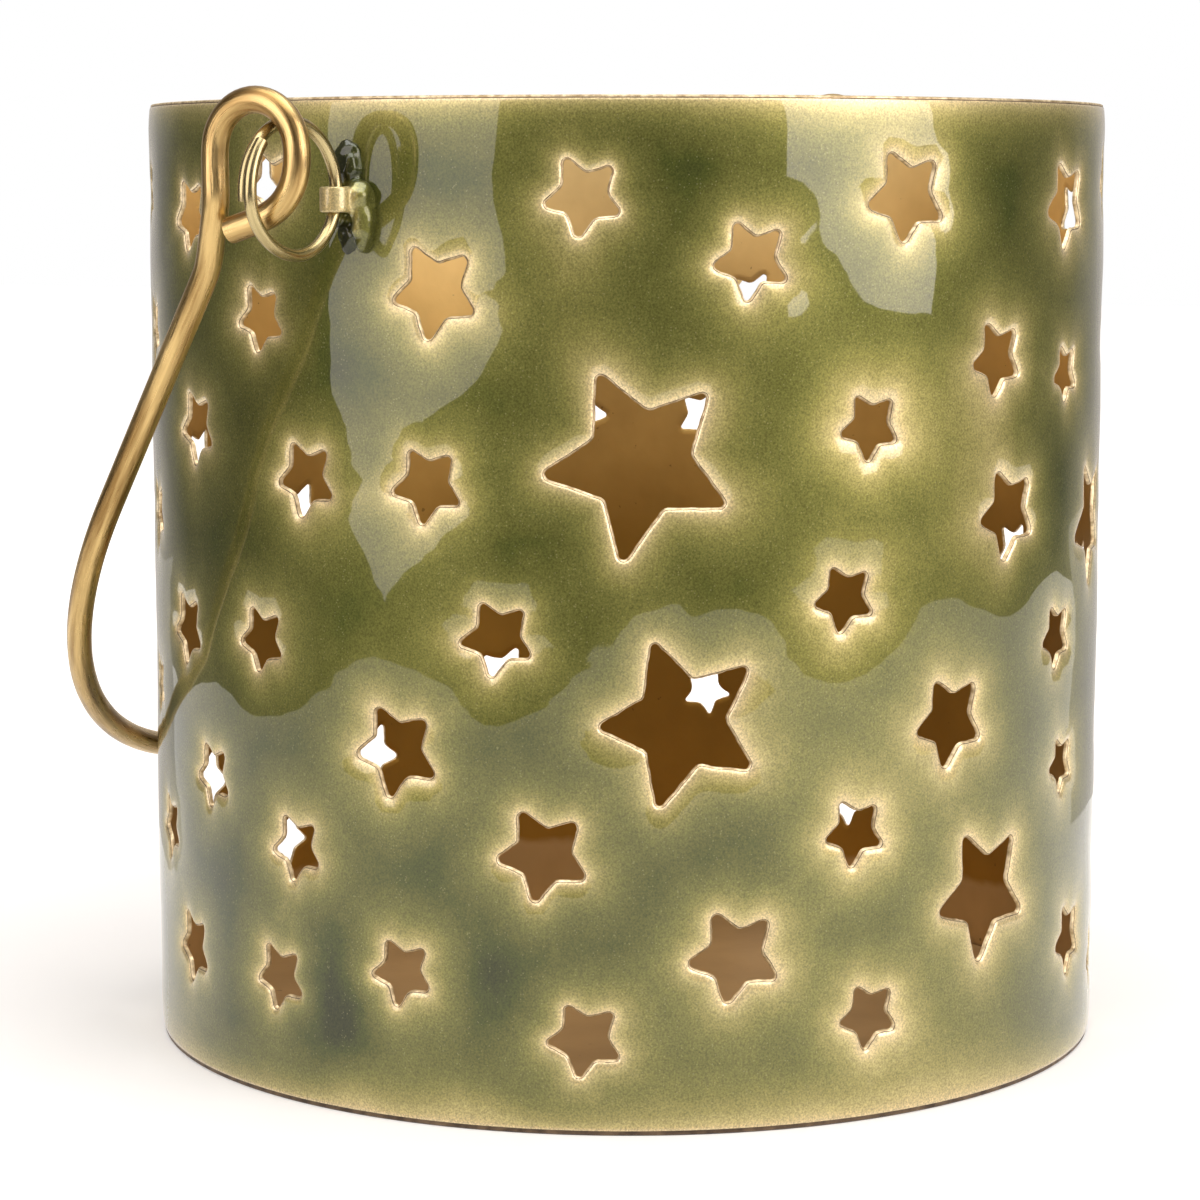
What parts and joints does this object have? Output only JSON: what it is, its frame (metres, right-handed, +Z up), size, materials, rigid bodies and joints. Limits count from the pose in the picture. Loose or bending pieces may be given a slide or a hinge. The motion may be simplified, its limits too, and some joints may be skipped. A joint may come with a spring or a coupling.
{
  "type": "star lantern",
  "caption": "Round tin candle lantern in olive green enamel, pierced all over with stars, gold inside, with a hooked brass wire handle hung in small wire rings",
  "frame": {"origin": "middle of the flat underside", "axes": "+Z up the tin, X along the handle's hinge line from the left lug to the right lug, +Y to the side where the handle hangs"},
  "size_m": [0.1296, 0.1027, 0.0998],
  "materials": {
    "enamel": "glossy translucent olive enamel over gold, paler round every star and along both rims",
    "lacquer": "gold lacquer on the inside, browner towards the floor",
    "ring_wire": "polished wire with cut ends",
    "handle_wire": "gold lacquered wire, darker where it is rubbed and in the bends"
  },
  "bodies": {
    "lantern": {"wall": "enamel", "base": "lacquer", "left_lug": "enamel", "right_lug": "enamel"},
    "left_ring": {"left_ring": "ring_wire"},
    "right_ring": {"right_ring": "ring_wire"},
    "handle": {"handle": "handle_wire"}
  },
  "joints": [
    {"name": "handle_swing", "type": "hinge", "parent": "lantern", "child": "handle", "pos_m": [0, 0.00479, 0.09309], "axis": [0.9999, 0, 0.0163], "range_deg": [0, 280]},
    {"name": "left_ring_swing", "type": "hinge", "parent": "lantern", "child": "left_ring", "pos_m": [-0.05215, 0.00219, 0.0885], "axis": [0, 0, 1], "range_deg": [-3, 3]},
    {"name": "right_ring_swing", "type": "hinge", "parent": "lantern", "child": "right_ring", "pos_m": [0.05215, 0.00219, 0.0905], "axis": [0, 0, 1], "range_deg": [-3, 3]}
  ]
}
